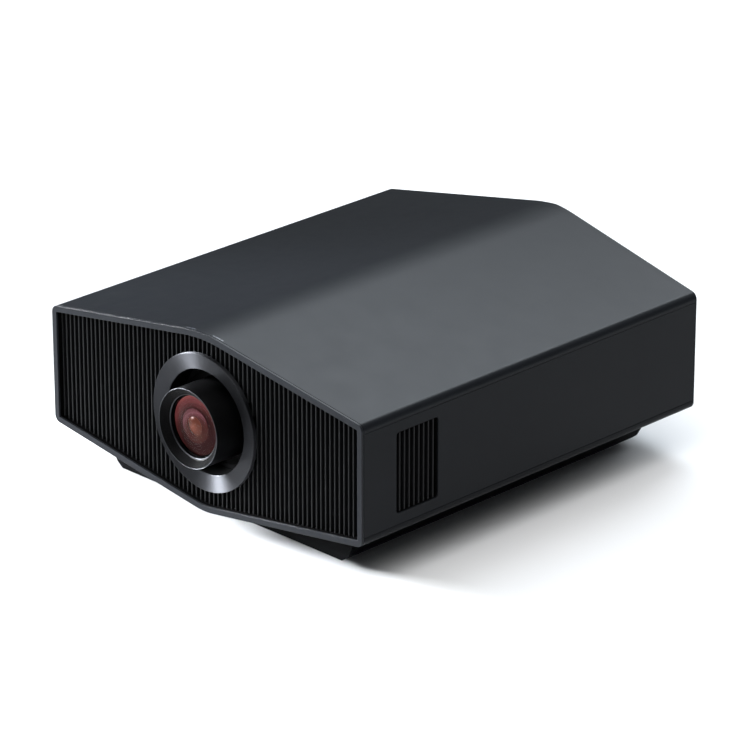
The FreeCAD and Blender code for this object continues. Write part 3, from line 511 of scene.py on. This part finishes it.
def filled(name, outlines, plane, start, depth):
    """A plate from a closed outline and its holes in XZ or YZ, extruded from start by depth."""
    work = bmesh.new()
    edges = []
    for outline in outlines:
        verts = [work.verts.new((u, v, 0)) for u, v in outline]
        for index, vert in enumerate(verts):
            edges.append(work.edges.new((vert, verts[(index + 1) % len(verts)])))
    bmesh.ops.triangle_fill(work, use_beauty=True, use_dissolve=True, edges=edges)
    result = bmesh.ops.extrude_face_region(work, geom=work.faces[:])
    top = [item for item in result["geom"] if isinstance(item, bmesh.types.BMVert)]
    for vert in top:
        vert.co.z = depth
    for vert in work.verts:
        u, v, w = vert.co
        vert.co = (u, start + w, v) if plane == "XZ" else (start + w, u, v)
    bmesh.ops.recalc_face_normals(work, faces=work.faces)
    mesh = bpy.data.meshes.new(name)
    work.to_mesh(mesh)
    work.free()
    return mesh


def rectangle(u0, u1, v0, v1, radius, steps=6):
    return rounded([(u0, v0), (u1, v0), (u1, v1), (u0, v1)], [radius] * 4, steps)


def case():
    outline_shell("upper_shell", "upper_case", side_high.z + SEAM, True)
    outline_shell("lower_shell", "lower_case", side_low.z - SEAM, False)
    panel = filled("right_panel", [
        [(SHELL_FRONT, side_low.z), (side_high.y, side_low.z), (side_high.y, side_high.z),
         (SHELL_FRONT, side_high.z)],
        rectangle(vent_low.y - GAP, vent_high.y + GAP, vent_low.z - GAP, vent_high.z + GAP,
                  VENT_CORNER + 0.2 * MM)], "YZ", HALF - WALL, WALL)
    finish_piece("right_panel", panel, SIDE_SHADED_PAINT, "root", ("side_panel_right",), 0.35 * MM)
    refine("side_panel_left", SIDE_SHADED_PAINT, 0.3 * MM)
    refine("rear_panel", CASE, 0.3 * MM)
    rim = filled("front_rim", [section(0, 14), section(RIM_WIDTH, 14)], "XZ", FRONT, RIM_DEPTH)
    # The inner lip of the bezel is near-black painted shade, not rim paint.
    lip = filled("front_lip", [section(WALL + GAP, 14), section(RIM_WIDTH, 14)], "XZ",
                 FRONT + RIM_DEPTH - 0.3 * MM, 13 * MM)
    finish_piece("front_rim", rim, RIM_LIT_PAINT, "root", ("front_bezel",), 0.5 * MM)
    finish_piece("front_lip", lip, RECESS_SHADE_BLACK, "root", ("front_bezel",), 0.2 * MM)


# ---------------------------------------------------------------- grille


def blade(x, z_low, z_high, y_front, depth, slope_low=0.0, slope_high=0.0):
    """An upright fin with a rounded front edge; its ends follow the slope of the rim."""
    half = FIN_THICK / 2
    round_off = 0.45 * MM
    profile = [(-half, depth), (-half, round_off)]
    for step in range(1, 5):
        angle = math.pi / 2 * step / 4
        profile.append((-half + round_off * (1 - math.cos(angle)),
                        round_off * (1 - math.sin(angle))))
    profile += [(-u, v) for u, v in reversed(profile)]
    rings = []
    for level, slope in ((z_low, slope_low), (z_high, slope_high)):
        rings.append([(x + u, y_front + v, level + slope * u) for u, v in profile])
    return rings


def fins_mesh(name, blades):
    points = []
    faces = []
    for rings in blades:
        base = len(points)
        count = len(rings[0])
        points += rings[0] + rings[1]
        for index in range(count):
            nearby = (index + 1) % count
            faces.append((base + index, base + nearby, base + count + nearby,
                          base + count + index))
        faces.append(tuple(base + index for index in reversed(range(count))))
        faces.append(tuple(base + count + index for index in range(count)))
    return outward(mesh_of(name, points, faces))


def front_grille():
    inset = RIM_WIDTH + 0.9 * MM
    cover = RING_OUTER - 1.2 * MM
    y = grille_low.y
    blades = []
    for index in range(FIN_COUNT):
        x = (index - (FIN_COUNT - 1) / 2) * FIN_PITCH
        z_low, z_high = span(x, inset)
        side = 1 if x > 0 else -1
        top = -side * TOP_RISE / HALF
        bottom = side * BOTTOM_DROP / HALF
        if abs(x) < cover:
            rise = math.sqrt(cover * cover - x * x)
            blades.append(blade(x, z_low, AXIS - rise, y, FIN_DEPTH, bottom))
            blades.append(blade(x, AXIS + rise, z_high, y, FIN_DEPTH, 0, top))
        else:
            blades.append(blade(x, z_low, z_high, y, FIN_DEPTH, bottom, top))
    finish_piece("front_fins", fins_mesh("front_fins", blades), GRILLE, "root", ("front_grille",))
    opening = RING_INNER * 1.2
    hole = [(opening * math.cos(a / 48 * math.pi), AXIS + opening * math.sin(a / 48 * math.pi))
            for a in range(96)]
    # A near-black sheet of painted shade behind the fins.
    sheet = filled("fin_shade_sheet", [section(RIM_WIDTH + 0.1 * MM, 14), hole], "XZ",
                   y + FIN_DEPTH - 0.5 * MM, 2 * MM)
    finish_piece("fin_shade_sheet", sheet, RECESS_SHADE_BLACK, "root", ("front_grille",))


def side_vent():
    y0, y1 = vent_low.y, vent_high.y
    z0, z1 = vent_low.z, vent_high.z
    outer = rectangle(y0, y1, z0, z1, VENT_CORNER)
    inner = rectangle(y0 + VENT_BORDER, y1 - VENT_BORDER, z0 + VENT_BORDER, z1 - VENT_BORDER,
                      VENT_CORNER - 1 * MM)
    # The back sheet and the recessed frame of the vent are near-black painted shade.
    back = filled("vent_shade_sheet", [outer], "YZ", HALF - 11 * MM, 2 * MM)
    finish_piece("vent_shade_sheet", back, RECESS_SHADE_BLACK, "root", ("side_vent_grille",))
    border = filled("vent_frame", [outer, inner], "YZ", HALF - 10 * MM, 8.6 * MM)
    finish_piece("vent_frame", border, RECESS_SHADE_BLACK, "root", ("side_vent_grille",), 0.2 * MM)
    blades = []
    middle = (y0 + y1) / 2
    for index in range(VENT_FINS):
        y = middle + (index - (VENT_FINS - 1) / 2) * VENT_PITCH
        rings = blade(0, z0 + 1 * MM, z1 - 1 * MM, 0, 8 * MM)
        blades.append([[(HALF - 1.3 * MM - v, y + u, z) for u, v, z in ring] for ring in rings])
    finish_piece("vent_fins", fins_mesh("vent_fins", blades), GRILLE, "root",
                 ("side_vent_grille",))


# ---------------------------------------------------------------- lens


def lens():
    ring = turned("ring", [
        (RING_OUTER - 0.5 * MM, 0.5 * MM), (RING_OUTER, 0.9 * MM), (RING_OUTER, RING_BACK),
        (RING_INNER, RING_BACK), (RING_INNER, RING_BACK - 0.8 * MM),
        (RING_INNER + 0.4 * MM, RING_BACK - 1.25 * MM)], 256)
    finish_piece("spun_ring", ring, RING, "root", ("lens_surround_ring",), angle=20)
    well = turned("well", [
        (RING_INNER, RING_BACK), (WELL_FLANGE, RING_BACK), (WELL_FLANGE, FLANGE_BACK),
        (WELL_WALL, FLANGE_BACK), (WELL_WALL, WELL_END), (WELL_MOUTH, WELL_END),
        (WELL_MOUTH, WELL_END - 0.9 * MM), (RING_INNER, WELL_END - 1.4 * MM)], 128)
    finish_piece("lens_well_wall", well, WELL, "root", ("lens_well",), angle=20)
    baffle = turned("baffle", [
        (BARREL_RADIUS - 0.3 * MM, BAFFLE_PLACE), (BAFFLE_RADIUS, BAFFLE_PLACE),
        (BAFFLE_RADIUS, BAFFLE_PLACE + BAFFLE_THICK),
        (BARREL_RADIUS - 0.3 * MM, BAFFLE_PLACE + BAFFLE_THICK)], 128)
    finish_piece("sliding_baffle", baffle, WELL, "shift", ("lens_barrel",), angle=20)

    tip = barrel_low.y - FRONT
    hood = tip + HOOD_DEPTH
    back = barrel_high.y - FRONT
    radius = BARREL_RADIUS
    barrel = turned("barrel", [
        (radius - 0.05 * MM, tip + 0.46 * MM), (radius, tip + 6 * MM),
        (radius, back - FLANGE_THICK), (BARREL_FLANGE, back - FLANGE_THICK),
        (BARREL_FLANGE, back), (BORE, back), (BORE, hood + 1.5 * MM),
        (radius - 1.6 * MM, hood)], 160)
    finish_piece("barrel_tube", barrel, BARREL, "shift", ("lens_barrel",), angle=20)
    rim = turned("rim", [
        (radius - 0.55 * MM, tip + 0.05 * MM), (radius - 0.3 * MM, tip),
        (radius - 0.05 * MM, tip + 0.2 * MM), (radius, tip + 0.45 * MM),
        (radius - 0.7 * MM, tip + 0.45 * MM), (radius - 0.7 * MM, tip + 0.15 * MM)], 192)
    finish_piece("barrel_edge", rim, EDGE, "shift", ("lens_barrel",), angle=20)
    steps = [(radius - 0.7 * MM, tip + 0.15 * MM)]
    for index in range(HOOD_STEPS):
        depth = tip + 0.25 * MM + index * HOOD_RISER
        r = radius - 1.1 * MM - index * HOOD_TREAD
        steps += [(r, depth), (r - 0.12 * MM, depth + 0.6 * MM)]
    steps += [(HOOD_FLOOR, hood - 0.6 * MM), (HOOD_FLOOR, hood + 1.4 * MM),
              (radius - 1.3 * MM, hood + 1.4 * MM), (radius - 0.9 * MM, tip + 1.0 * MM)]
    finish_piece("hood_steps", turned("hood", steps, 192), HOOD, "shift", ("lens_barrel",),
                 angle=20)
    trim = turned("trim", [
        (TRIM_OUTER, hood - 0.55 * MM), (TRIM_OUTER - 0.25 * MM, hood - 0.6 * MM),
        (TRIM_INNER, hood), (TRIM_INNER, hood + 0.6 * MM), (TRIM_OUTER, hood + 0.6 * MM)], 192)
    finish_piece("hood_trim", trim, EDGE, "shift", ("lens_barrel",), angle=20)
    front_group(hood)
    for node in ("focus_ring", "zoom_ring"):
        refine(node, BARREL, 0.3 * MM, 20)
    refine("rear_lens", GLASS, 0.0, 60)


def dome(name, radius, front, curve, thick):
    """A curved disc of even thickness with a spherical front."""
    rings = 20
    surface = []
    for step in range(rings + 1):
        r = radius * step / rings
        surface.append((max(r, 1e-6), front + curve - math.sqrt(curve * curve - r * r)))
    back = [(r, along + thick) for r, along in reversed(surface)]
    return turned(name, surface + back, 96)


def front_group(hood):
    cell = hood + 3 * MM
    tube = turned("cell", [
        (GLASS_RADIUS + 0.2 * MM, cell + 0.3 * MM), (GLASS_RADIUS + 0.5 * MM, cell),
        (CELL_RADIUS, cell), (CELL_RADIUS, cell + CELL_LENGTH), (31 * MM, cell + CELL_LENGTH),
        (29 * MM, cell + 9 * MM), (GLASS_RADIUS + 0.2 * MM, cell + 8.5 * MM)], 128)
    finish_piece("front_cell_tube", tube, WELL, "front_cell", ("front_group",), angle=20)
    glass = dome("glass", GLASS_RADIUS, hood - 2.0 * MM, GLASS_CURVE, 1.0 * MM)
    finish_piece("front_glass", glass, GLASS, "front_cell", ("front_lens",), angle=40)
    # These colour stops are painted reflection: the bright salmon and purple bands stand in for
    # light reflected in the coated elements, brightest at the rim of the glass.
    salmon = [(0.0, (0.05, 0.016, 0.014)), (0.42, (0.024, 0.008, 0.008)),
              (0.57, (0.032, 0.010, 0.010)), (0.68, (0.080, 0.022, 0.022)),
              (0.82, (0.20, 0.058, 0.060)), (0.95, (0.44, 0.115, 0.115)),
              (1.0, (0.50, 0.14, 0.14))]
    purple = [(0.0, (0.08, 0.026, 0.018)), (0.35, (0.050, 0.015, 0.012)),
              (0.60, (0.060, 0.018, 0.016)), (0.80, (0.10, 0.034, 0.040)),
              (0.92, (0.15, 0.060, 0.076)), (1.0, (0.11, 0.040, 0.048))]
    amber = [(0.0, (0.15, 0.045, 0.025)), (0.5, (0.09, 0.026, 0.016)), (0.8, (0.12, 0.040, 0.028)),
             (1.0, (0.14, 0.050, 0.040))]
    for index, (radius, curve, place, stops, painted_light_drift, coat) in enumerate((
            (31.9, 400, 3.2, salmon, 0.24, 0.0), (18.5, 300, 2.3, purple, 0.5, 0.05),
            (12.0, 18, -0.8, amber, 0.1, 0.5))):
        element = dome(f"element{index}", radius * MM, hood + place * MM, curve * MM, 0.8 * MM)
        reflection_paint = painted_reflection_glass(f"coating_{index}", stops, radius * MM, painted_light_drift, coat)
        finish_piece(f"inner_element_{index}", element, reflection_paint, "front_cell", ("front_lens",),
                     angle=40)


# ---------------------------------------------------------------- the rest


def plinth():
    refine("base_plinth", PLINTH, 0.8 * MM, 25)
    for node in ("foot_pad_left", "foot_pad_right", "rear_feet"):
        refine(node, RUBBER, 0.4 * MM)
    refine("mount_inserts", BRASS, 0.1 * MM)


def left_and_inside():
    looks = {
        "indicator_lights": SMOKE, "control_plate": PLATE, "terminal_plate": PLATE,
        "hdmi_sockets": SOCKET, "usb_socket": SOCKET, "lan_socket": SOCKET,
        "serial_socket": SOCKET, "trigger_jacks": PLATE, "power_inlet": PLATE,
        "rear_vent_grille": GRILLE, "chassis_plate": ZINC, "main_board": BOARD,
        "power_supply": ZINC, "optical_housing": CAST, "prism_block": CLEAR,
        "imaging_panels": PLATE, "light_source": CAST, "heat_sink": SINK, "fan_frames": PLATE,
        "impeller_left": PLATE, "impeller_right": PLATE, "lens_mount": CAST,
        "vertical_carriage": CAST, "horizontal_carriage": CAST, "vertical_motor": STEEL,
        "horizontal_motor": STEEL, "vertical_screw": STEEL, "horizontal_screw": STEEL,
        "foot_stem_left": STEEL, "foot_stem_right": STEEL,
    }
    for key in ("power", "input", "menu", "enter", "up", "down", "left", "right"):
        looks[key + "_button"] = BUTTON
    for node, look in looks.items():
        refine(node, look, 0.12 * MM)


def inserts():
    """Near-black blocks of painted shade at the back of the sockets, contact tongues inside the
    sockets, and marks on the buttons.
    """
    # Place along y, width, height and height of the tongue, in millimetres.
    sockets = {
        "hdmi_sockets": ((9, -9), 13.6, 4.2, 1.4), "usb_socket": ((7.75,), 12.2, 4.8, 1.8),
        "lan_socket": ((9,), 11.8, 9.6, 1.2), "serial_socket": ((16,), 16.4, 7.8, 3.4)}
    for node, (spots, wide, tall, tongue) in sockets.items():
        low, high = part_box(node)
        level = (low.z + high.z) / 2
        for index, spot in enumerate(spots):
            y = (low.y if spot > 0 else high.y) + spot * MM
            # The first block is painted shade: near-black, standing in for the shade deep inside
            # the socket.
            for part, w, h, face, dark_fill in (("dark_fill", wide, tall, 2.6, RECESS_SHADE_BLACK),
                                             ("tongue", wide * 0.72, tongue, 1.0, BARREL)):
                outline = rectangle(y - w * MM / 2, y + w * MM / 2, level - h * MM / 2,
                                    level + h * MM / 2, min(h * 0.2, 0.5) * MM, 3)
                block = filled(f"{node}_{part}_{index}", [outline], "YZ", low.x + face * MM,
                               (4.6 - face) * MM)
                finish_piece(f"{node}_{part}_{index}", block, dark_fill, "root", (node,))
    circle = [(math.cos(a / 18 * math.pi), math.sin(a / 18 * math.pi)) for a in range(36)]
    big = [(1.7 * u, 1.7 * v) for u, v in circle]
    small = [(1.25 * u, 1.25 * v) for u, v in circle]
    square = [(-1.6, -1.2), (1.6, -1.2), (1.6, 1.2), (-1.6, 1.2)]
    within = [(-1.25, -0.85), (1.25, -0.85), (1.25, 0.85), (-1.25, 0.85)]
    arrow = [(1.5, 0), (-0.9, 1.4), (-0.9, -1.4)]
    turn = {"right": (1, 0), "up": (0, 1), "left": (-1, 0), "down": (0, -1)}
    bar = [(-1.6, -0.3), (1.6, -0.3), (1.6, 0.3), (-1.6, 0.3)]
    marks = {"power": [big, small], "input": [bar], "menu": [square, within], "enter": [small]}
    for key, (c, d) in turn.items():
        marks[key] = [[(u * c - v * d, u * d + v * c) for u, v in arrow]]
    for key, outlines in marks.items():
        node = key + "_button"
        low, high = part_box(node)
        y, z = (low.y + high.y) / 2, (low.z + high.z) / 2
        placed = [[(y + u * MM, z + v * MM) for u, v in outline] for outline in outlines]
        mark = filled(node + "_mark", placed, "YZ", low.x - 0.08 * MM, 0.14 * MM)
        finish_piece(node + "_mark", mark, MARK, node, (node,))


# ---------------------------------------------------------------- stage


def lamp(name, direction, distance, width, height, power, aim=(0, 0, 0.1), colour=(1, 1, 1),
         spread=180):
    """An area light: distance and sides in metres, power in watts, spread in degrees."""
    data = bpy.data.lights.new(name, "AREA")
    data.shape = "RECTANGLE"
    data.spread = math.radians(spread)
    data.size = width
    data.size_y = height
    data.energy = power
    data.color = colour
    light = bpy.data.objects.new(name, data)
    bpy.context.scene.collection.objects.link(light)
    light.location = Vector(aim) + Vector(direction).normalized() * distance
    light.rotation_euler = (Vector(aim) - light.location).to_track_quat("-Z", "Y").to_euler()


def stage():
    floor = bpy.data.meshes.new("floor")
    corners = ((-1, -1), (1, -1), (1, 1), (-1, 1))
    floor.from_pydata([(u * FLOOR_REACH, v * FLOOR_REACH, 0) for u, v in corners], [],
                      [(0, 1, 2, 3)])
    s = Shader("pale_floor")
    s.link(s.ramp(s.noise(1.5, 3.0), [(0.3, (0.88, 0.88, 0.88)), (0.7, (0.91, 0.91, 0.91))]),
           s.bsdf.inputs["Base Color"])
    s.bsdf.inputs["Roughness"].default_value = 0.9
    s.bsdf.inputs["Specular IOR Level"].default_value = 0.0
    floor.materials.append(s.material)
    plane = bpy.data.objects.new("floor", floor)
    bpy.context.scene.collection.objects.link(plane)

    world = bpy.data.worlds.new("studio")
    world.use_nodes = True
    world.node_tree.nodes["Background"].inputs["Color"].default_value = (0.9, 0.95, 1.0, 1)
    world.node_tree.nodes["Background"].inputs["Strength"].default_value = 0.08
    bpy.context.scene.world = world

    lamp("key", (-0.34, 0.61, 0.77), 3.0, 1.8, 1.3, 72, colour=(0.86, 0.93, 1.0))
    lamp("overhead", (0.25, -0.3, 1.0), 3.2, 3.5, 3.5, 108)
    lamp("rear", (-0.08, 0.93, 0.33), 3.0, 2.2, 1.5, 34, colour=(0.88, 0.94, 1.0))
    lamp("strip", (-0.88, -0.40, 0.25), 1.0, 0.46, 0.45, 3.6, (-0.12, FRONT, 0.12),
         (0.93, 0.96, 1.0), 20)


def camera():
    azimuth = math.radians(CAMERA_AZIMUTH)
    elevation = math.radians(CAMERA_ELEVATION)
    back = Vector((math.sin(azimuth) * math.cos(elevation),
                   -math.cos(azimuth) * math.cos(elevation), math.sin(elevation)))
    right = Vector((math.cos(azimuth), math.sin(azimuth), 0))
    up = back.cross(right)
    aim = Vector(CAMERA_AIM) + right * AIM_RIGHT - up * AIM_DOWN
    data = bpy.data.cameras.new("camera")
    data.sensor_width = SENSOR_MM
    data.lens = FOCAL_MM
    data.clip_end = 100
    viewer = bpy.data.objects.new("camera", data)
    bpy.context.scene.collection.objects.link(viewer)
    viewer.location = aim + back * CAMERA_DISTANCE
    viewer.rotation_euler = back.to_track_quat("Z", "Y").to_euler()
    bpy.context.scene.camera = viewer
    bpy.context.scene.view_settings.view_transform = "Standard"


case()
front_grille()
side_vent()
lens()
plinth()
left_and_inside()
inserts()
stage()
camera()
